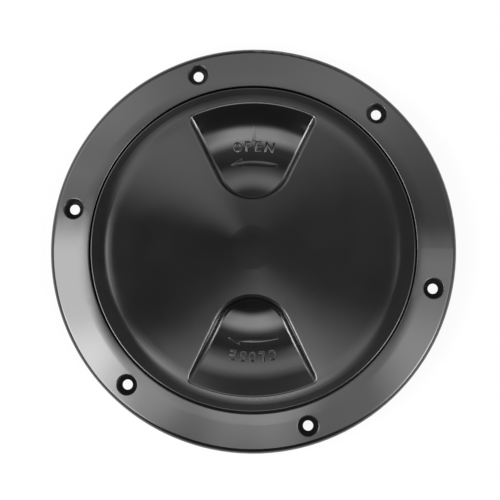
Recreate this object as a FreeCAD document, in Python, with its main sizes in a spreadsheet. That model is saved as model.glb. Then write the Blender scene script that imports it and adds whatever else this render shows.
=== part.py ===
# Screw-in inspection cover: deck ring, screw lid and O-ring seal.
# Millimetres. Z = 0 is the flange's underside (the deck), +Z points out of the deck.
# +Y points from the middle to one finger recess of the lid.
import FreeCAD, Part
import Sketcher
import math
import os
import re

# Driving sizes
SIZES = [
    # Lid, from its rim inwards
    ("rim_r", 79.7, "outer radius of the lid's rim"),
    ("rim_round", 0.7, "rounding of the rim's edge"),
    ("rim_flat", 3.7, "width of the flat rim"),
    ("foot_wide", 4.3, "width of the hollow curve between rim and shoulder"),
    ("shoulder_wide", 4.7, "width of the shoulder, between that curve and the cone"),
    ("shoulder_slope", 7.0, "slope where the shoulder meets the hollow curve, in degrees"),
    ("cone_slope", 4.7, "slope of the low cone, in degrees"),
    ("dome_r", 10.8, "radius of the rounded middle"),
    ("lid_wall", 2.6, "thickness of the lid's walls"),
    ("skirt_end", 0.95, "length of skirt below the thread"),
    # Clearances between lid, ring and seal
    ("rim_gap", 0.6, "gap between the lid's rim and the ring"),
    ("neck_gap", 0.3, "gap between the lid's neck and the bore"),
    ("neck_step", 0.3, "height of the neck's end over the ledge"),
    ("seal_gap", 0.4, "gap beside the seal on each side"),
    ("thread_gap", 0.4, "gap between a ridge's tip and the other wall"),
    ("flank_gap", 0.25, "gap on the loaded side of the ridges"),
    ("flank_play", 0.41, "gap on the free side of the ridges"),
    # Screw thread
    ("pitch", 5.0, "rise per turn"),
    ("ridge_high", 1.6, "height of a thread ridge"),
    ("ridge_flank", 20.0, "flank angle of a ridge, in degrees"),
    ("ridge_root", 0.3, "depth that a ridge is sunk in its wall"),
    ("lid_turns", 1.5, "turns of the lid's thread"),
    ("more_turns", 0.5, "turns that the ring's thread has over the lid's"),
    ("thread_top", 2.1, "depth of the lid thread's upper end"),
    # Seal
    ("ledge_high", 0.2, "height of the seal's ledge over the deck"),
    ("seal_high", 2.6, "height of the squeezed seal"),
    # Deck ring
    ("ledge_wide", 3.7, "width of the seal's ledge"),
    ("lip_round", 0.6, "rounding of the lip beside the lid"),
    ("crown_wide", 5.1, "width of the crown between lip and slope"),
    ("crown_slope", 6.0, "slope of the crown beside the lip, in degrees"),
    ("flange_wide", 14.0, "width of the sloped flange"),
    ("flange_edge", 2.75, "height of the slope, carried on to the flange's outer radius"),
    ("flange_slope", 10.0, "slope of the flange's top, in degrees"),
    ("flange_round", 3.0, "rounding of the flange's outer edge"),
    ("flange_wall", 2.6, "thickness over the cored underside"),
    ("core_inset", 2.9, "width of the solid land inside the core"),
    ("core_edge", 5.0, "width of the solid land outside the core"),
    ("core_land", 14.0, "width of the solid land at each screw hole"),
    ("spigot_wall", 3.0, "wall of the locating step beside the rim"),
    ("spigot_deep", 2.6, "depth of the locating step"),
    ("spigot_taper", 1.6, "height of the taper below the locating step"),
    ("collar_wall", 3.1, "wall of the collar"),
    ("collar_past", 4.0, "length of collar below the lid's skirt"),
    ("collar_chamfer", 0.8, "chamfer on the collar's lower edge"),
    # Screw holes
    ("hole_inset", 4.4, "distance of the screw-hole circle from the crown"),
    ("hole_first", 47.5, "angle of the first screw hole, in degrees"),
    ("hole_count", 6.0, "number of screw holes"),
    ("hole_r", 2.5, "radius of the screw holes"),
    ("head_r", 5.0, "radius of the countersinks"),
    ("head_sink", 0.23, "depth of the countersink's cone below its lowest rim"),
    ("head_round", 0.4, "rounding of the countersink's rim"),
    # Finger recesses
    ("scoop_half", 26.2, "half angle between the recess's straight sides, in degrees"),
    ("scoop_back", 2.6, "distance from the recess's outer edge to the thread's root"),
    ("scoop_mid_r", 43.0, "distance of the rounded inner end's centre from the axis"),
    ("scoop_corner", 3.2, "rounding of the two outer corners"),
    ("scoop_past", 0.9, "distance from the recess's outer edge to the foot of its hidden outer side"),
    ("scoop_level", 2.0, "height over the rim at which the outline is measured"),
    ("scoop_low_r", 44.6, "radius where the floor is lowest"),
    ("scoop_deep", 8.0, "depth of the floor below the rim"),
    ("scoop_over", 0.2, "height over the rim at which the floor comes out of the lid's top"),
    ("scoop_draft", 6.0, "draft of the recess's sides, in degrees"),
    ("scoop_foot", 1.8, "rounding between floor and sides"),
    ("scoop_lip", 1.4, "rounding of the recess's lip"),
]

# Sizes that follow from the driving ones
FOLLOWING = {
    "counterbore_r": "rim_r + rim_gap",
    "bore_r": "counterbore_r - ledge_wide",
    "neck_r": "bore_r - neck_gap",
    "skirt_r": "bore_r - thread_gap - ridge_high",
    "skirt_in_r": "skirt_r - lid_wall",
    "foot_r": "rim_r - rim_flat",
    "step_r": "foot_r - foot_wide",
    "shoulder_r": "step_r - shoulder_wide",
    "lip_r": "counterbore_r + lip_round",
    "crown_r": "lip_r + crown_wide",
    "flange_r": "crown_r + flange_wide",
    "slope_rise": "tan(flange_slope)",
    "crown_round": "crown_wide / (sin(flange_slope) - sin(crown_slope))",
    "crown_foot_z": "flange_edge + flange_wide * slope_rise",
    "crown_z": "crown_foot_z + crown_round * (cos(crown_slope) - cos(flange_slope))",
    "edge_meet_r": "flange_r - flange_round * (1 - sin(flange_slope))",
    "edge_meet_z": "flange_edge + (flange_r - edge_meet_r) * slope_rise",
    "edge_foot_z": "edge_meet_z - flange_round * cos(flange_slope)",
    "spigot_r": "counterbore_r + spigot_wall",
    "collar_r": "bore_r + collar_wall",
    "core_in_r": "spigot_r + core_inset",
    "core_out_r": "flange_r - core_edge",
    "core_in_z": "flange_edge + (flange_r - core_in_r) * slope_rise - flange_wall",
    "core_out_z": "flange_edge + core_edge * slope_rise - flange_wall",
    "hole_circle_r": "crown_r + hole_inset",
    "head_z": "flange_edge + (flange_r - hole_circle_r - head_r) * slope_rise - head_sink",
    "core_angle": "360 deg / hole_count - 2 * asin(core_land / 2 / hole_circle_r)",
    "rim_under": "ledge_high + seal_high",
    "neck_z": "ledge_high + neck_step",
    "seal_mid_r": "(neck_r + counterbore_r) / 2",
    "seal_half": "(counterbore_r - neck_r) / 2 - seal_gap",
    "seal_side": "0.6 * seal_high",
    "seal_flat": "seal_half - seal_side + sqrt(seal_side * seal_side - seal_high * seal_high / 4)",
    "ridge_pair": "(pitch - flank_gap - flank_play) / 2",
    "ridge_base": "ridge_pair + (ridge_high + thread_gap) * tan(ridge_flank)",
    "thread_end": "thread_top + lid_turns * pitch",
    "ring_start": "ridge_pair + flank_gap - thread_end - pitch",
    "ring_turns": "lid_turns + more_turns",
    "skirt_z": "thread_end + ridge_base / 2 + skirt_end",
    "collar_z": "skirt_z + collar_past",
    "foot_round": "foot_wide / sin(shoulder_slope)",
    "step_z": "crown_z + foot_round * (1 - cos(shoulder_slope))",
    "shoulder_round": "shoulder_wide / (sin(shoulder_slope) - sin(cone_slope))",
    "shoulder_z": "step_z + shoulder_round * (cos(cone_slope) - cos(shoulder_slope))",
    "dome_round": "dome_r / sin(cone_slope)",
    "dome_foot_z": "shoulder_z + (shoulder_r - dome_r) * tan(cone_slope)",
    "dome_z": "dome_foot_z + dome_round * (1 - cos(cone_slope))",
    "cone_tip_z": "shoulder_z + shoulder_r * tan(cone_slope)",
    "scoop_out_r": "skirt_r - scoop_back",
    "scoop_end_r": "scoop_mid_r * sin(scoop_half)",
    "scoop_top_z": "crown_z + scoop_level",
    "scoop_low_z": "crown_z - scoop_deep",
    "scoop_run": "scoop_out_r - scoop_low_r",
    "scoop_rise": "scoop_deep + scoop_over",
    "scoop_reach": "scoop_out_r + scoop_past",
    "tub_reach": "skirt_r - lid_wall / 2",
    "scoop_curve": "(scoop_run * scoop_run + scoop_rise * scoop_rise) / (2 * scoop_rise)",
    "block_high": "2 * (scoop_level + scoop_deep + lid_wall + 0.6)",
}

doc = FreeCAD.newDocument("InspectionCover")
sheet = doc.addObject("Spreadsheet::Sheet", "Sizes")
NAMES = []
for row, (alias, value, note) in enumerate(SIZES, start=1):
    sheet.set("A%d" % row, alias)
    sheet.set("B%d" % row, str(value))
    sheet.set("C%d" % row, note)
    sheet.setAlias("B%d" % row, alias)
    NAMES.append(alias)
doc.recompute()


def bound(text):
    """Turn a formula of size names into one that reads only the sheet's cells."""
    return re.sub(r"[A-Za-z][A-Za-z_0-9]*", swap_name, text)


def swap_name(word):
    name = word.group(0)
    if name in NAMES:
        return "Sizes." + name
    if name in FOLLOWING:
        return "(" + bound(FOLLOWING[name]) + ")"
    return name


def number(text):
    """Value of a formula of size names."""
    value = sheet.evalExpression(bound(text))
    return float(getattr(value, "Value", value))


def bind(item, name, text):
    """Set a property and bind it to a formula."""
    setattr(item, name, type(getattr(item, name))(number(text)))
    item.setExpression(name, bound(text))


def plane(body, role):
    """Origin plane of a body, found by its role."""
    for item in body.Origin.OriginFeatures:
        if item.Role == role:
            return item
    raise RuntimeError("no plane " + role)


def add_body(name):
    body = doc.addObject("PartDesign::Body", name)
    body.Label = name
    return body


def add_sketch(body, name, role):
    sketch = body.newObject("Sketcher::SketchObject", name)
    sketch.AttachmentSupport = [(plane(body, role), "")]
    sketch.MapMode = "FlatFace"
    return sketch


def turn_sketch(sketch, text):
    """Turn a sketch on the XZ plane about the cover's axis by an angle."""
    turned = FreeCAD.Rotation(FreeCAD.Vector(0, 1, 0), number(text))
    sketch.AttachmentOffset = FreeCAD.Placement(FreeCAD.Vector(0, 0, 0), turned)
    sketch.setExpression("AttachmentOffset.Rotation.Angle", bound(text))


def lift(item, text):
    """Lift an attached sketch or plane along Z."""
    item.AttachmentOffset = FreeCAD.Placement(FreeCAD.Vector(0, 0, number(text)), FreeCAD.Rotation())
    item.setExpression("AttachmentOffset.Base.z", bound(text))


def hold(sketch, kind, args, text):
    """Add a dimension and bind it to a formula."""
    index = sketch.addConstraint(Sketcher.Constraint(kind, *args, number(text)))
    sketch.setExpression("Constraints[%d]" % index, bound(text))


def hold_point(sketch, geo, end, x_text, y_text):
    """Hold one end of a line or arc at a place given by two formulas."""
    for kind, text, axis in (("DistanceX", x_text, -2), ("DistanceY", y_text, -1)):
        if text == "0":
            sketch.addConstraint(Sketcher.Constraint("PointOnObject", geo, end, axis))
        else:
            hold(sketch, kind, (-1, 1, geo, end), text)


def end_number(point, last):
    """Number of an element's first or last end. An arc always runs anticlockwise."""
    if len(point) == 2 or point[3] > 0:
        return 2 if last else 1
    return 1 if last else 2


def outline(sketch, points):
    """Closed outline of points (x, y) or (x, y, radius, side). A radius bends the stretch that leads
    on from its point, and side +1 puts the arc's centre on the left of that stretch."""
    count = len(points)
    places = [FreeCAD.Vector(number(point[0]), number(point[1]), 0) for point in points]
    for index, point in enumerate(points):
        start = places[index]
        stop = places[(index + 1) % count]
        if len(point) == 2:
            sketch.addGeometry(Part.LineSegment(start, stop), False)
            continue
        radius = number(point[2])
        half = start.distanceToPoint(stop) / 2
        along = (stop - start).normalize()
        across = FreeCAD.Vector(-along.y, along.x, 0) * point[3]
        centre = (start + stop) * 0.5 + across * math.sqrt(max(radius * radius - half * half, 0))
        sketch.addGeometry(Part.Arc(start, centre - across * radius, stop), False)
    for index, point in enumerate(points):
        following = (index + 1) % count
        ends = (index, end_number(point, True), following, end_number(points[following], False))
        sketch.addConstraint(Sketcher.Constraint("Coincident", *ends))
    for index, point in enumerate(points):
        hold_point(sketch, index, end_number(point, False), point[0], point[1])
        if len(point) > 2:
            hold(sketch, "Radius", (index,), point[2])
    doc.recompute()
    if sketch.solve() != 0:
        raise RuntimeError("sketch not solved: " + sketch.Name)


def revolve(body, kind, name, sketch, axis="V_Axis"):
    """Full turn of a sketch, added or cut away."""
    feature = body.newObject(kind, name)
    feature.Profile = sketch
    feature.ReferenceAxis = (sketch, [axis])
    feature.Angle = 360
    sketch.Visibility = False
    doc.recompute()
    return feature


def repeat(body, name, feature, axis_sketch, count_text):
    """Copies of a feature, evenly spaced round the cover's axis."""
    pattern = body.newObject("PartDesign::PolarPattern", name)
    pattern.Originals = [feature]
    pattern.Axis = (axis_sketch, ["V_Axis"])
    pattern.Angle = 360
    bind(pattern, "Occurrences", count_text)
    body.Tip = pattern
    doc.recompute()
    return pattern


def thread(body, name, wall, outward, start, turns):
    """Raised right-handed ridge on a round wall."""
    sketch = add_sketch(body, name + "_section", "XZ_Plane")
    foot = "%s %s ridge_root" % (wall, "-" if outward else "+")
    tip = "%s %s ridge_high" % (wall, "+" if outward else "-")
    foot_half = "(ridge_base / 2 + ridge_root * tan(ridge_flank))"
    tip_half = "(ridge_base / 2 - ridge_high * tan(ridge_flank))"
    outline(sketch, [
        (foot, "%s - %s" % (start, foot_half)),
        (tip, "%s - %s" % (start, tip_half)),
        (tip, "%s + %s" % (start, tip_half)),
        (foot, "%s + %s" % (start, foot_half)),
    ])
    ridge = body.newObject("PartDesign::AdditiveHelix", name)
    ridge.Profile = sketch
    ridge.ReferenceAxis = (sketch, ["V_Axis"])
    ridge.Mode = "pitch-turns-angle"
    bind(ridge, "Pitch", "pitch")
    bind(ridge, "Turns", turns)
    ridge.LeftHanded = False
    ridge.Reversed = False
    sketch.Visibility = False
    body.Tip = ridge
    doc.recompute()
    return ridge


def middle_normal(face):
    low_u, high_u, low_v, high_v = face.ParameterRange
    return face.normalAt((low_u + high_u) / 2, (low_v + high_v) / 2)


def upright_faces(feature):
    """Names of a feature's upright faces."""
    return ["Face%d" % number for number, face in enumerate(feature.Shape.Faces, start=1)
            if abs(middle_normal(face).z) < 0.1]


def floor_edges(feature):
    """Names of the edges round a recess's floor, its only face that is turned from an arc."""
    turned = ("Part::GeomToroid", "Part::GeomSurfaceOfRevolution")
    around = [edge for face in feature.Shape.Faces if face.Surface.TypeId in turned for edge in face.Edges]
    return ["Edge%d" % number for number, edge in enumerate(feature.Shape.Edges, start=1)
            if any(edge.isSame(other) for other in around)]


def head_rims(feature):
    """Names of the edges where the countersinks break through the flange's top."""
    names = []
    for index, edge in enumerate(feature.Shape.Edges, start=1):
        first, last = edge.ParameterRange
        spots = [edge.valueAt(first + (last - first) * part) for part in (0.1, 0.5, 0.9)]
        for turn in range(int(number("hole_count"))):
            angle = math.radians(number("hole_first") + 360 / number("hole_count") * turn)
            middle = FreeCAD.Vector(math.cos(angle), math.sin(angle), 0) * number("hole_circle_r")
            reach = [math.hypot(spot.x - middle.x, spot.y - middle.y) for spot in spots]
            on_wall = all(abs(distance - number("head_r")) < 0.01 for distance in reach)
            if on_wall and all(spot.z > number("head_z") + 0.01 for spot in spots) and not upright(edge):
                names.append("Edge%d" % index)
    return names


def upright(edge):
    """True if an edge runs straight up."""
    ends = [edge.valueAt(value) for value in edge.ParameterRange]
    return math.hypot(ends[0].x - ends[1].x, ends[0].y - ends[1].y) < 0.01 and len(edge.Vertexes) > 1


def top_height(radius):
    """Height of the lid's top at a radius, from the dome's edge to the rim."""
    if radius < number("shoulder_r"):
        return number("cone_tip_z") - radius * math.tan(math.radians(number("cone_slope")))
    if radius > number("step_r"):
        drop = math.sqrt(number("foot_round") ** 2 - (number("foot_r") - radius) ** 2)
        return number("crown_z + foot_round") - drop
    centre_r = number("shoulder_r - shoulder_round * sin(cone_slope)")
    centre_z = number("shoulder_z - shoulder_round * cos(cone_slope)")
    return centre_z + math.sqrt(number("shoulder_round") ** 2 - (radius - centre_r) ** 2)


def lip_edges(feature):
    """Names of the edges where the recesses break through the lid's top."""
    names = []
    for index, edge in enumerate(feature.Shape.Edges, start=1):
        first, last = edge.ParameterRange
        spots = [edge.valueAt(first + (last - first) * part) for part in (0.1, 0.5, 0.9)]
        radii = [math.hypot(spot.x, spot.y) for spot in spots]
        inside = all(number("dome_r") + 1 < radius < number("foot_r") - 0.5 for radius in radii)
        if not inside or any(abs(spot.z - top_height(radius)) > 0.02 for spot, radius in zip(spots, radii)):
            continue
        seam = max(abs(spot.x) for spot in spots) < 0.01 or max(abs(spot.y) for spot in spots) < 0.01
        turned = any(all(abs(radius - circle) < 0.01 for radius in radii)
                     for circle in (number("shoulder_r"), number("step_r")))
        if not seam and not turned:
            names.append("Edge%d" % index)
    return names


def scoop(name, grow, out_r, foot, under_lid):
    """Pair of finger recesses as solids: sectors with a rounded inner end, drafted sides and a floor
    turned about the lid's axis, which sweeps up to the rim. grow widens the sides and deepens the floor,
    out_r is the outer radius, and under_lid keeps the pair below the lid's top."""
    body = add_body(name)
    plan = add_sketch(body, name + "_plan", "XY_Plane")
    lift(plan, "scoop_top_z")
    corner = "(scoop_corner + %s)" % grow
    reach = "(%s - %s)" % (out_r, corner)
    corner_a = "(scoop_half * 1 deg - asin(scoop_corner / %s))" % reach
    side_x = "(scoop_end_r + %s) * cos(scoop_half)" % grow
    side_y = "(scoop_mid_r * cos(scoop_half) * cos(scoop_half) - %s * sin(scoop_half))" % grow
    meet_x = "(%s * sin(%s) + %s * cos(scoop_half))" % (reach, corner_a, corner)
    meet_y = "(%s * cos(%s) - %s * sin(scoop_half))" % (reach, corner_a, corner)
    turn_x = "(%s * sin(%s))" % (out_r, corner_a)
    turn_y = "(%s * cos(%s))" % (out_r, corner_a)
    outline(plan, [
        ("-" + side_x, side_y, "scoop_end_r + " + grow, 1),
        (side_x, side_y),
        (meet_x, meet_y, corner, 1),
        (turn_x, turn_y, out_r, 1),
        ("-" + turn_x, turn_y, corner, 1),
        ("-" + meet_x, meet_y),
    ])
    level = body.newObject("PartDesign::Plane", name + "_level")
    level.AttachmentSupport = [(plane(body, "XY_Plane"), "")]
    level.MapMode = "FlatFace"
    lift(level, "scoop_top_z")
    block = body.newObject("PartDesign::Pad", name + "_block")
    block.Profile = plan
    bind(block, "Length", "block_high")
    block.Midplane = True
    plan.Visibility = False
    doc.recompute()
    draft = body.newObject("PartDesign::Draft", name + "_draft")
    draft.Base = (block, upright_faces(block))
    draft.NeutralPlane = (level, [""])
    bind(draft, "Angle", "scoop_draft")
    draft.Reversed = True
    doc.recompute()
    # Floor: all below an arc goes
    floor_sketch = add_sketch(body, name + "_floor_section", "XZ_Plane")
    curve = "(scoop_curve + %s)" % grow
    near = "(scoop_mid_r - scoop_end_r - 2 * scoop_foot - %s)" % grow
    far = "(%s + 2 * scoop_foot)" % out_r
    arc_z = "scoop_low_z + scoop_curve - sqrt(%s * %s - (%s - scoop_low_r) * (%s - scoop_low_r))"
    outline(floor_sketch, [
        (near, arc_z % (curve, curve, near, near), curve, 1),
        (far, arc_z % (curve, curve, far, far)),
        (far, "-block_high"),
        (near, "-block_high"),
    ])
    cut = revolve(body, "PartDesign::Groove", name + "_floor", floor_sketch)
    # Top: all above the middle of the lid's wall goes
    if under_lid:
        over_sketch = add_sketch(body, name + "_top_section", "XZ_Plane")
        outline(over_sketch, [
            ("0", "cone_tip_z - lid_wall / 3"),
            ("shoulder_r", "shoulder_z - lid_wall / 3"),
            ("foot_r", "crown_z - lid_wall / 3"),
            ("flange_r", "crown_z - lid_wall / 3"),
            ("flange_r", "2 * block_high"),
            ("0", "2 * block_high"),
        ])
        cut = revolve(body, "PartDesign::Groove", name + "_top", over_sketch)
    feet = body.newObject("PartDesign::Fillet", name + "_feet")
    feet.Base = (cut, floor_edges(cut))
    bind(feet, "Radius", foot)
    doc.recompute()
    both = body.newObject("PartDesign::PolarPattern", name + "_both")
    both.TransformMode = "Whole shape"
    both.Axis = (plan, ["N_Axis"])
    both.Angle = 360
    both.Occurrences = 2
    body.Tip = both
    doc.recompute()
    return body


# Deck ring: section turned about the axis
ring = add_body("deck_ring")
ring_section = add_sketch(ring, "ring_section", "XZ_Plane")
outline(ring_section, [
    ("bore_r", "-collar_z"),
    ("collar_r - collar_chamfer", "-collar_z"),
    ("collar_r", "-collar_z + collar_chamfer"),
    ("collar_r", "-spigot_deep - spigot_taper"),
    ("spigot_r", "-spigot_deep"),
    ("spigot_r", "0"),
    ("flange_r", "0"),
    ("flange_r", "edge_foot_z", "flange_round", 1),
    ("edge_meet_r", "edge_meet_z"),
    ("crown_r", "crown_foot_z", "crown_round", 1),
    ("lip_r", "crown_z", "lip_round", 1),
    ("counterbore_r", "crown_z - lip_round"),
    ("counterbore_r", "ledge_high"),
    ("bore_r", "ledge_high"),
])
revolve(ring, "PartDesign::Revolution", "ring_turned", ring_section)

# Cored underside, left solid at each screw hole
core_section = add_sketch(ring, "core_section", "XZ_Plane")
turn_sketch(core_section, "hole_first + 180 / hole_count")
outline(core_section, [
    ("core_in_r", "-ledge_high"),
    ("core_out_r", "-ledge_high"),
    ("core_out_r", "core_out_z"),
    ("core_in_r", "core_in_z"),
])
core = ring.newObject("PartDesign::Groove", "core")
core.Profile = core_section
core.ReferenceAxis = (core_section, ["V_Axis"])
bind(core, "Angle", "core_angle")
core.Midplane = True
core_section.Visibility = False
doc.recompute()
repeat(ring, "cores", core, ring_section, "hole_count")

# Screw holes: drill and countersink, turned about the hole's own axis
hole_section = add_sketch(ring, "hole_section", "XZ_Plane")
turn_sketch(hole_section, "hole_first")
outline(hole_section, [
    ("hole_circle_r", "-hole_r"),
    ("hole_circle_r + hole_r", "-hole_r"),
    ("hole_circle_r + hole_r", "head_z - (head_r - hole_r)"),
    ("hole_circle_r + head_r", "head_z"),
    ("hole_circle_r + head_r", "crown_z + head_r"),
    ("hole_circle_r", "crown_z + head_r"),
])
hole = revolve(ring, "PartDesign::Groove", "hole", hole_section, "Edge6")
holes = repeat(ring, "holes", hole, ring_section, "hole_count")
rims = ring.newObject("PartDesign::Fillet", "hole_rims")
rims.Base = (holes, head_rims(holes))
bind(rims, "Radius", "head_round")
doc.recompute()

# Inside thread of the collar
thread(ring, "ring_thread", "bore_r", False, "ring_start", "ring_turns")

# Finger recesses, and the tubs that wall them in below the lid
tubs = scoop("scoop_tubs", "lid_wall", "tub_reach", "scoop_foot + lid_wall / 2", True)
scoops = scoop("finger_scoops", "0", "scoop_reach", "scoop_foot", False)

# Screw lid: cone, shoulder, rim, neck and skirt turned in one
lid = add_body("screw_lid")
lid_section = add_sketch(lid, "lid_section", "XZ_Plane")
outline(lid_section, [
    ("0", "dome_z"),
    ("0", "cone_tip_z - lid_wall"),
    ("shoulder_r", "shoulder_z - lid_wall"),
    ("skirt_in_r", "crown_z - lid_wall"),
    ("skirt_in_r", "-skirt_z"),
    ("skirt_r", "-skirt_z"),
    ("skirt_r", "neck_z - neck_r + skirt_r"),
    ("neck_r", "neck_z"),
    ("neck_r", "rim_under"),
    ("rim_r", "rim_under"),
    ("rim_r", "crown_z - rim_round", "rim_round", 1),
    ("rim_r - rim_round", "crown_z"),
    ("foot_r", "crown_z", "foot_round", -1),
    ("step_r", "step_z", "shoulder_round", 1),
    ("shoulder_r", "shoulder_z"),
    ("dome_r", "dome_foot_z", "dome_round", 1),
])
revolve(lid, "PartDesign::Revolution", "lid_turned", lid_section)
with_tubs = lid.newObject("PartDesign::Boolean", "lid_with_tubs")
with_tubs.Type = "Fuse"
with_tubs.setObjects([tubs])
doc.recompute()
scooped = lid.newObject("PartDesign::Boolean", "lid_scooped")
scooped.Type = "Cut"
scooped.setObjects([scoops])
doc.recompute()
lips = lid.newObject("PartDesign::Fillet", "scoop_lips")
lips.Base = (scooped, lip_edges(scooped))
bind(lips, "Radius", "scoop_lip")
doc.recompute()
thread(lid, "lid_thread", "skirt_r", True, "-thread_end", "lid_turns")

# O-ring, squeezed between the lid's rim and the ledge
seal = add_body("o_ring_seal")
seal_section = add_sketch(seal, "seal_section", "XZ_Plane")
outline(seal_section, [
    ("seal_mid_r - seal_flat", "ledge_high"),
    ("seal_mid_r + seal_flat", "ledge_high", "seal_side", 1),
    ("seal_mid_r + seal_flat", "rim_under"),
    ("seal_mid_r - seal_flat", "rim_under", "seal_side", 1),
])
revolve(seal, "PartDesign::Revolution", "seal_turned", seal_section)

# Check every feature and write the parts
doc.recompute()
faults = [item.Name for item in doc.Objects if "Invalid" in item.State or "Error" in item.State]
os.makedirs("parts", exist_ok=True)
for body in (ring, lid, seal):
    if body.Shape.isNull() or not body.Shape.isValid() or len(body.Shape.Solids) != 1:
        faults.append(body.Label)
        continue
    body.Shape.exportStep("parts/%s.step" % body.Label)
    print(body.Label, round(body.Shape.Volume), "mm3", len(body.Shape.Faces), "faces")
if faults:
    raise RuntimeError("faults in " + ", ".join(faults))
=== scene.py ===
# Studio scene for a screw-in inspection cover: finish of its mouldings, raised marks, light and camera.
# Metres, in the part's own frame: Z = 0 is the deck, +Y points to the finger recess marked OPEN.
import math
import bmesh
import bpy
from mathutils import Matrix, Vector


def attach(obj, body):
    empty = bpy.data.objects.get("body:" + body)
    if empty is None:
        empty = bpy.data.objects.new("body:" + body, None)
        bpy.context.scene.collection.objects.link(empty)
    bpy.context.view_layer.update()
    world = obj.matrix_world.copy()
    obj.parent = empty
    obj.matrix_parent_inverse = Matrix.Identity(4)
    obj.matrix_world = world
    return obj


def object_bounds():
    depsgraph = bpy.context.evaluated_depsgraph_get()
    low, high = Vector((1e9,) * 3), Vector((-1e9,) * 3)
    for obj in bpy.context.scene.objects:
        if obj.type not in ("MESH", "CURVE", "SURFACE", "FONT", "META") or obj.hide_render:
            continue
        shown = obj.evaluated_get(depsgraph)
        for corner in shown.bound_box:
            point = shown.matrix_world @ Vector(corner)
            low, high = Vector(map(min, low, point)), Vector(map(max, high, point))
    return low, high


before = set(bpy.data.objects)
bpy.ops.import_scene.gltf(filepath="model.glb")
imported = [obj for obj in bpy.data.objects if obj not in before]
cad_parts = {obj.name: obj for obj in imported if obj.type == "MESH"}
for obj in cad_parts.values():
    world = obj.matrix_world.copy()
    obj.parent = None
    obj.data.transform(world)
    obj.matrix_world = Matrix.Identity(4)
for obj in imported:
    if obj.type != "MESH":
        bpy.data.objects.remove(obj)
cad_low, cad_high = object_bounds()
MM = 0.001

# Floor of the finger recesses in mm, turned about the cover's axis: an arc, lowest at FLOOR_LOW_R
RIM_Z = 5.935
RECESS_DEEP = 8.0
RECESS_OVER = 0.2
RECESS_OUT_R = 72.0
FLOOR_LOW_R = 44.6
FLOOR_LOW_Z = RIM_Z - RECESS_DEEP
FLOOR_RISE = RECESS_DEEP + RECESS_OVER
FLOOR_RUN = RECESS_OUT_R - FLOOR_LOW_R
FLOOR_CURVE = (FLOOR_RUN ** 2 + FLOOR_RISE ** 2) / (2 * FLOOR_RISE)

# Camera, from a least-squares fit to the photograph's outlines
CAMERA_DISTANCE = 0.6
CAMERA_DIRECTION = Vector((0.0277, -0.0803, 0.9964)).normalized()
CAMERA_LENS = 87.5
CAMERA_SENSOR = 36.0
CAMERA_SHIFT_X = -0.00536
CAMERA_SHIFT_Y = -0.0018
CAMERA_NEAR = 0.01
CAMERA_FAR = 50.0


def floor_height(radius):
    """Height of a recess's floor at a radius from the cover's axis, in mm."""
    return FLOOR_LOW_Z + FLOOR_CURVE - math.sqrt(FLOOR_CURVE ** 2 - (radius - FLOOR_LOW_R) ** 2)


def add_object(name, data):
    item = bpy.data.objects.new(name, data)
    bpy.context.scene.collection.objects.link(item)
    return item


# Shader nodes

# The stretch of a noise texture's values that holds most of its surface
NOISE_LOW = 0.3
NOISE_HIGH = 0.7


def new_material(name):
    material = bpy.data.materials.new(name)
    material.use_nodes = True
    return material, material.node_tree.nodes, material.node_tree.links


def math_node(nodes, links, operation, first, second=None):
    """Math node; each input is a number or another node's output."""
    node = nodes.new("ShaderNodeMath")
    node.operation = operation
    for socket, value in zip(node.inputs, (first, second)):
        if isinstance(value, (int, float)):
            socket.default_value = value
        elif value is not None:
            links.new(value, socket)
    return node.outputs[0]


def noise(nodes, links, place, scale, detail):
    """Noise texture in the object's own space; scale is in features per metre."""
    texture = nodes.new("ShaderNodeTexNoise")
    texture.inputs["Scale"].default_value = scale
    texture.inputs["Detail"].default_value = detail
    links.new(place, texture.inputs["Vector"])
    return texture.outputs["Fac"]


def spread(nodes, links, value, to_low, to_high):
    """Carries a noise texture's usual values over to a range from to_low to to_high."""
    node = nodes.new("ShaderNodeMapRange")
    node.inputs["From Min"].default_value = NOISE_LOW
    node.inputs["From Max"].default_value = NOISE_HIGH
    node.inputs["To Min"].default_value = to_low
    node.inputs["To Max"].default_value = to_high
    links.new(value, node.inputs["Value"])
    return node.outputs["Result"]


def blend_colours(nodes, links, value, first, second):
    node = nodes.new("ShaderNodeMix")
    node.data_type = "RGBA"
    links.new(value, node.inputs["Factor"])
    node.inputs["A"].default_value = (*first, 1.0)
    node.inputs["B"].default_value = (*second, 1.0)
    return node.outputs["Result"]


def bump(nodes, links, height, distance, below=None):
    node = nodes.new("ShaderNodeBump")
    node.inputs["Distance"].default_value = distance
    links.new(height, node.inputs["Height"])
    if below is not None:
        links.new(below, node.inputs["Normal"])
    return node.outputs["Normal"]


# Materials

PLASTIC_DARK = (0.0048, 0.0050, 0.0052)
PLASTIC_PALE = (0.0066, 0.0068, 0.0068)
RUBBER_DARK = (0.010, 0.010, 0.010)
RUBBER_PALE = (0.020, 0.019, 0.018)


def gloss_plastic():
    """Black plastic as it leaves a polished mould: slight waves, a fine grain and uneven gloss."""
    material, nodes, links = new_material("black_plastic_moulded")
    shader = nodes["Principled BSDF"]
    place = nodes.new("ShaderNodeTexCoord").outputs["Object"]
    patches = noise(nodes, links, place, scale=60, detail=3.0)
    waves = noise(nodes, links, place, scale=35, detail=1.0)
    grain = noise(nodes, links, place, scale=2500, detail=2.0)
    tone = spread(nodes, links, patches, 0.0, 1.0)
    links.new(blend_colours(nodes, links, tone, PLASTIC_DARK, PLASTIC_PALE), shader.inputs["Base Color"])
    links.new(spread(nodes, links, patches, 0.08, 0.11), shader.inputs["Roughness"])
    shader.inputs["IOR"].default_value = 1.5
    shader.inputs["Specular IOR Level"].default_value = 1.0
    normal = bump(nodes, links, waves, distance=0.00004)
    normal = bump(nodes, links, grain, distance=0.000002, below=normal)
    links.new(normal, shader.inputs["Normal"])
    return material


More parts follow.
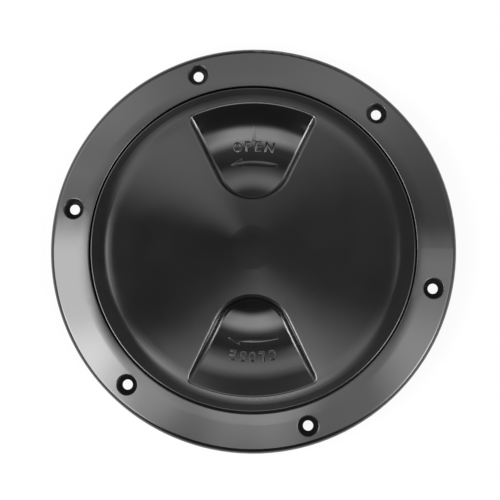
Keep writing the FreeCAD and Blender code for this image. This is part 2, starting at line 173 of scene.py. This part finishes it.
def rubber():
    """Matte black rubber with a fine open grain."""
    material, nodes, links = new_material("seal_rubber_moulded")
    shader = nodes["Principled BSDF"]
    place = nodes.new("ShaderNodeTexCoord").outputs["Object"]
    patches = noise(nodes, links, place, scale=150, detail=4.0)
    grain = noise(nodes, links, place, scale=3500, detail=3.0)
    tone = spread(nodes, links, patches, 0.0, 1.0)
    links.new(blend_colours(nodes, links, tone, RUBBER_DARK, RUBBER_PALE), shader.inputs["Base Color"])
    links.new(spread(nodes, links, grain, 0.55, 0.75), shader.inputs["Roughness"])
    links.new(bump(nodes, links, grain, distance=0.00001), shader.inputs["Normal"])
    return material


plastic = gloss_plastic()
seal_rubber = rubber()
for node, material in (("deck_ring", plastic), ("screw_lid", plastic), ("o_ring_seal", seal_rubber)):
    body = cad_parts[node]
    body.data.materials.clear()
    body.data.materials.append(material)


# Raised marks on the recesses' floors, in mm

MARK_HIGH = 0.6
MARK_SUNK = 0.4
MARK_BEVEL = 0.25
BEVEL_STEPS = 2
WELD_DISTANCE = 0.002
SHARP_ANGLE = 40

LETTER_HIGH = 5.3
LETTER_BOLDER = 0.12
LETTER_STEPS = 6
# Height of a capital letter over the size of its font
FONT_HIGH = 0.7

ARROW_HEAD_LONG = 5.2
ARROW_HEAD_HALF = 2.2
ARROW_BARB = 0.5
ARROW_SHAFT_HALF = 0.55
ARROW_STEPS = 16

POINTER_HALF = 0.9
POINTER_FOOT = -2.9
POINTER_TIP = 3.2
POINTER_ALONG = 0.5

# Radius of each mark's circle about the cover's axis
OPEN_WORD_R = 51.5
CLOSE_WORD_R = 52.9
OPEN_ARROW_R = 43.6
CLOSE_ARROW_R = 45.3
POINTER_R = 57.1


def flat_curve(name, kind):
    curve = bpy.data.curves.new(name, kind)
    curve.dimensions = "2D"
    curve.fill_mode = "BOTH"
    curve.bevel_resolution = BEVEL_STEPS
    return curve


def plate_mesh(curve):
    """A raised plate with bevelled edges from a flat curve, which is removed."""
    curve.extrude = (MARK_HIGH + MARK_SUNK) / 2 - MARK_BEVEL
    curve.bevel_depth = MARK_BEVEL
    item = add_object("mark", curve)
    bpy.context.view_layer.update()
    mesh = bpy.data.meshes.new_from_object(item.evaluated_get(bpy.context.evaluated_depsgraph_get()))
    bpy.data.objects.remove(item)
    bpy.data.curves.remove(curve)
    return mesh


def letter_mesh(letter, width):
    """A plain letter as a raised plate, its middle at the origin, and width mm wide."""
    curve = flat_curve("letter", "FONT")
    curve.body = letter
    curve.size = LETTER_HIGH / FONT_HIGH
    curve.offset = LETTER_BOLDER
    curve.resolution_u = LETTER_STEPS
    mesh = plate_mesh(curve)
    spots = [vertex.co for vertex in mesh.vertices]
    low_x, high_x = min(spot.x for spot in spots), max(spot.x for spot in spots)
    low_y, high_y = min(spot.y for spot in spots), max(spot.y for spot in spots)
    for vertex in mesh.vertices:
        vertex.co.x = (vertex.co.x - (low_x + high_x) / 2) * width / (high_x - low_x)
        vertex.co.y = (vertex.co.y - (low_y + high_y) / 2) * LETTER_HIGH / (high_y - low_y)
    return mesh


def shape_mesh(points):
    """A raised plate with straight sides between points."""
    curve = flat_curve("shape", "CURVE")
    spline = curve.splines.new("POLY")
    spline.points.add(len(points) - 1)
    for point, (x, y) in zip(spline.points, points):
        point.co = (x, y, 0.0, 1.0)
    spline.use_cyclic_u = True
    return plate_mesh(curve)


def raised_mark(name, plates, radius, turned=False):
    """Joins plates into one mark that lies along a circle on a recess's floor. Each plate comes with its
    place along that circle in mm. Turned marks lie in the recess on the -Y side."""
    joined = bmesh.new()
    side = -1.0 if turned else 1.0
    for plate, along in plates:
        for vertex in plate.vertices:
            angle = (along + vertex.co.x) / radius
            reach = radius + vertex.co.y
            height = floor_height(reach) + vertex.co.z + (MARK_HIGH - MARK_SUNK) / 2
            x = side * reach * math.sin(angle)
            y = side * reach * math.cos(angle)
            vertex.co = (x * MM, y * MM, height * MM)
        joined.from_mesh(plate)
        bpy.data.meshes.remove(plate)
    bmesh.ops.remove_doubles(joined, verts=joined.verts, dist=WELD_DISTANCE * MM)
    bmesh.ops.recalc_face_normals(joined, faces=joined.faces)
    mesh = bpy.data.meshes.new(name)
    joined.to_mesh(mesh)
    joined.free()
    mesh.materials.append(plastic)
    mesh.shade_smooth()
    mesh.set_sharp_from_angle(angle=math.radians(SHARP_ANGLE))
    item = add_object(name, mesh)
    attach(item, "lid")


def word_mark(name, letters, radius, turned=False):
    """Letters given as (letter, place along the circle, width)."""
    plates = [(letter_mesh(letter, width), along) for letter, along, width in letters]
    raised_mark(name, plates, radius, turned)


def arrow_mark(name, tip, tail, radius, turned=False):
    """Arrow along a circle from tail to tip, with barbs that point back a little."""
    back = 1.0 if tail > tip else -1.0
    base = tip + back * ARROW_HEAD_LONG
    barb = base + back * ARROW_BARB
    shaft = [base + (tail - base) * step / ARROW_STEPS for step in range(ARROW_STEPS + 1)]
    over = [(tip, 0.0), (barb, ARROW_HEAD_HALF)] + [(x, ARROW_SHAFT_HALF) for x in shaft]
    under = [(x, -ARROW_SHAFT_HALF) for x in reversed(shaft)] + [(barb, -ARROW_HEAD_HALF)]
    raised_mark(name, [(shape_mesh(over + under), 0.0)], radius, turned)


def pointer_mark(name, radius):
    """Small triangle that points away from the cover's axis."""
    outline = [(-POINTER_HALF, POINTER_FOOT), (POINTER_HALF, POINTER_FOOT), (0.0, POINTER_TIP)]
    raised_mark(name, [(shape_mesh(outline), POINTER_ALONG)], radius)


word_mark("mark_open", [("O", -7.7, 4.3), ("P", -2.4, 3.1), ("E", 2.7, 3.4), ("N", 8.3, 4.7)], OPEN_WORD_R)
word_mark("mark_close",
          [("C", -10.1, 3.7), ("L", -4.7, 3.1), ("O", 0.0, 3.8), ("S", 4.6, 3.6), ("E", 9.8, 3.3)],
          CLOSE_WORD_R, turned=True)
arrow_mark("arrow_open", -10.9, 12.4, OPEN_ARROW_R)
arrow_mark("arrow_close", 11.8, -12.3, CLOSE_ARROW_R, turned=True)
pointer_mark("pointer_open", POINTER_R)


# Floor and background

# The floor lies just below the collar, so that the two don't share a plane
FLOOR_GAP = 0.0001
FLOOR_HALF = 6.0
FLOOR_GREY = 0.85
FLOOR_ROUGHNESS = 0.9
# How much of the floor is plain white where the camera or a reflection sees it; the rest keeps the shadow
FLOOR_WHITE = 0.9


def white_for_camera(nodes, links, lit, share):
    """Mixes white, as seen by camera, glossy and transmission rays, over a lit shader."""
    path = nodes.new("ShaderNodeLightPath")
    rays = path.outputs["Is Camera Ray"]
    for kind in ("Is Glossy Ray", "Is Transmission Ray"):
        rays = math_node(nodes, links, "MAXIMUM", rays, path.outputs[kind])
    white = nodes.new("ShaderNodeEmission")
    white.inputs["Strength"].default_value = 1.0
    mix = nodes.new("ShaderNodeMixShader")
    links.new(math_node(nodes, links, "MULTIPLY", rays, share), mix.inputs["Fac"])
    links.new(lit, mix.inputs[1])
    links.new(white.outputs[0], mix.inputs[2])
    return mix.outputs[0]


def studio_floor():
    mesh = bpy.data.meshes.new("studio_floor")
    level = cad_low.z - FLOOR_GAP
    corners = [(-1, -1), (1, -1), (1, 1), (-1, 1)]
    mesh.from_pydata([(x * FLOOR_HALF, y * FLOOR_HALF, level) for x, y in corners], [], [(0, 1, 2, 3)])
    item = add_object("studio_floor", mesh)
    material, nodes, links = new_material("studio_floor_white")
    shader = nodes["Principled BSDF"]
    shader.inputs["Base Color"].default_value = (FLOOR_GREY, FLOOR_GREY, FLOOR_GREY, 1.0)
    shader.inputs["Roughness"].default_value = FLOOR_ROUGHNESS
    mixed = white_for_camera(nodes, links, shader.outputs[0], FLOOR_WHITE)
    links.new(mixed, nodes["Material Output"].inputs["Surface"])
    mesh.materials.append(material)


studio_floor()


# Light: a pale band at the horizon, eight soft glows in the world, and level softboxes overhead.
# Most numbers in GLOWS and PANELS are rounded results of a least-squares fit of the reflections to the
# photograph. Only softbox_right_low, softbox_left_low and the trimmed strengths and edges were set one by
# one.

LIGHT = 0.5
WALL_GLOW = 0.5
WALL_FADE = 0.2

# Azimuth and angle from the zenith in degrees, tightness, radiance
GLOWS = [
    (210, 99, 7.4, 1.2),
    (337, 78, 9.7, 1.6),
    (151, 81, 5.4, 1.6),
    (48, 89, 4.1, 1.1),
    (259, 6, 40.0, 0.42),
    (139, 51, 16.0, 0.42),
    (359, 49, 16.0, 0.42),
    (53, 35, 18.0, 0.67),
]

# Name, low and high side along X, low and high side along Y, radiance, width of the fading edge.
# Sides and edges are slopes: distance from the axis over height.
PANELS = [
    ("softbox_left", -1.27, -0.443, -0.723, 0.171, 11.6, 0.17),
    ("strip_front", -0.194, 0.085, -0.50, -0.175, 5.1, 0.19),
    ("softbox_right_front", 0.033, 1.11, -0.50, -0.121, 2.34, 0.17),
    ("softbox_back", -0.61, 0.41, 0.379, 0.806, 2.22, 0.40),
    ("softbox_left_front", -1.33, -0.226, -0.446, -0.172, 5.6, 0.15),
    ("softbox_right", 0.38, 1.43, -0.765, 0.106, 3.18, 0.13),
    ("strip_back", -1.44, -0.134, 0.209, 0.37, 1.40, 0.12),
    ("softbox_right_back", 0.47, 1.80, 0.106, 2.20, 0.77, 0.60),
    ("softbox_right_low", 0.80, 1.55, -1.10, -0.40, 13.0, 0.20),
    ("softbox_left_low", -1.55, -0.80, -1.10, -0.60, 11.0, 0.20),
    ("softbox_left_back", -1.60, -0.548, 0.393, 0.827, 3.85, 0.60),
]

# Panels that overlap at exactly one height lose light in the render, so each hangs a step above the last
PANEL_LEVEL = 4.0
PANEL_STEP = 0.01
# Largest share of a panel's length that may fade on each side
FADE_MOST = 0.49


def glow(nodes, links, direction, azimuth, from_zenith, tight, radiance):
    """Light that falls off smoothly about one direction; angles in degrees."""
    turn, tilt = math.radians(azimuth), math.radians(from_zenith)
    level = math.sin(tilt)
    dot = nodes.new("ShaderNodeVectorMath")
    dot.operation = "DOT_PRODUCT"
    links.new(direction, dot.inputs[0])
    dot.inputs[1].default_value = (level * math.cos(turn), level * math.sin(turn), math.cos(tilt))
    away = math_node(nodes, links, "SUBTRACT", dot.outputs["Value"], 1.0)
    fall = math_node(nodes, links, "EXPONENT", math_node(nodes, links, "MULTIPLY", away, tight))
    return math_node(nodes, links, "MULTIPLY", fall, radiance)


def studio_world():
    world = bpy.data.worlds.new("studio")
    bpy.context.scene.world = world
    world.use_nodes = True
    nodes, links = world.node_tree.nodes, world.node_tree.links
    direction = nodes.new("ShaderNodeTexCoord").outputs["Generated"]
    split = nodes.new("ShaderNodeSeparateXYZ")
    links.new(direction, split.inputs[0])
    height = math_node(nodes, links, "ABSOLUTE", split.outputs["Z"])
    wall = math_node(nodes, links, "EXPONENT", math_node(nodes, links, "MULTIPLY", height, -1 / WALL_FADE))
    total = math_node(nodes, links, "MULTIPLY", wall, WALL_GLOW * LIGHT)
    for azimuth, from_zenith, tight, radiance in GLOWS:
        part = glow(nodes, links, direction, azimuth, from_zenith, tight, radiance * LIGHT)
        total = math_node(nodes, links, "ADD", total, part)
    nodes["Background"].inputs["Color"].default_value = (1, 1, 1, 1)
    links.new(total, nodes["Background"].inputs["Strength"])


def faded(nodes, links, spot, axis, length, soft):
    """Light left on one axis of a panel: full inside, and fading to nothing over its last stretch."""
    share = min(soft * PANEL_LEVEL / length, FADE_MOST)
    middle = math_node(nodes, links, "SUBTRACT", spot.outputs[axis], 0.5)
    distance = math_node(nodes, links, "ABSOLUTE", middle)
    fade = nodes.new("ShaderNodeMapRange")
    fade.interpolation_type = "SMOOTHSTEP"
    links.new(distance, fade.inputs["Value"])
    fade.inputs["From Min"].default_value = 0.5 - share
    fade.inputs["From Max"].default_value = 0.5
    fade.inputs["To Min"].default_value = 1.0
    fade.inputs["To Max"].default_value = 0.0
    return fade.outputs["Result"]


def softbox(index, name, low_x, high_x, low_y, high_y, radiance, soft):
    """Level panel over the cover. Its sides lie in the middle of the fading edge."""
    width = (high_x - low_x + soft) * PANEL_LEVEL
    depth = (high_y - low_y + soft) * PANEL_LEVEL
    data = bpy.data.lights.new(name, "AREA")
    data.shape = "RECTANGLE"
    data.size = width
    data.size_y = depth
    data.energy = radiance * LIGHT * math.pi * width * depth
    item = add_object(name, data)
    level = PANEL_LEVEL + PANEL_STEP * index
    item.location = ((low_x + high_x) / 2 * PANEL_LEVEL, (low_y + high_y) / 2 * PANEL_LEVEL, level)
    item.visible_camera = False
    data.use_nodes = True
    nodes, links = data.node_tree.nodes, data.node_tree.links
    spot = nodes.new("ShaderNodeSeparateXYZ")
    links.new(nodes.new("ShaderNodeNewGeometry").outputs["Parametric"], spot.inputs[0])
    along_x = faded(nodes, links, spot, "X", width, soft)
    along_y = faded(nodes, links, spot, "Y", depth, soft)
    both = math_node(nodes, links, "MULTIPLY", along_x, along_y)
    links.new(both, nodes["Emission"].inputs["Strength"])


studio_world()
for index, panel in enumerate(PANELS):
    softbox(index, *panel)


# Camera

scene = bpy.context.scene
camera = add_object("camera", bpy.data.cameras.new("camera"))
camera.data.sensor_width = CAMERA_SENSOR
camera.data.lens = CAMERA_LENS
camera.data.shift_x = CAMERA_SHIFT_X
camera.data.shift_y = CAMERA_SHIFT_Y
camera.data.clip_start = CAMERA_NEAR
camera.data.clip_end = CAMERA_FAR
up = CAMERA_DIRECTION.cross(Vector((1.0, 0.0, 0.0))).normalized()
right = up.cross(CAMERA_DIRECTION)
facing = Matrix((right, up, CAMERA_DIRECTION)).transposed().to_4x4()
camera.matrix_world = Matrix.Translation(CAMERA_DIRECTION * CAMERA_DISTANCE) @ facing
scene.camera = camera
scene.view_settings.view_transform = "Standard"
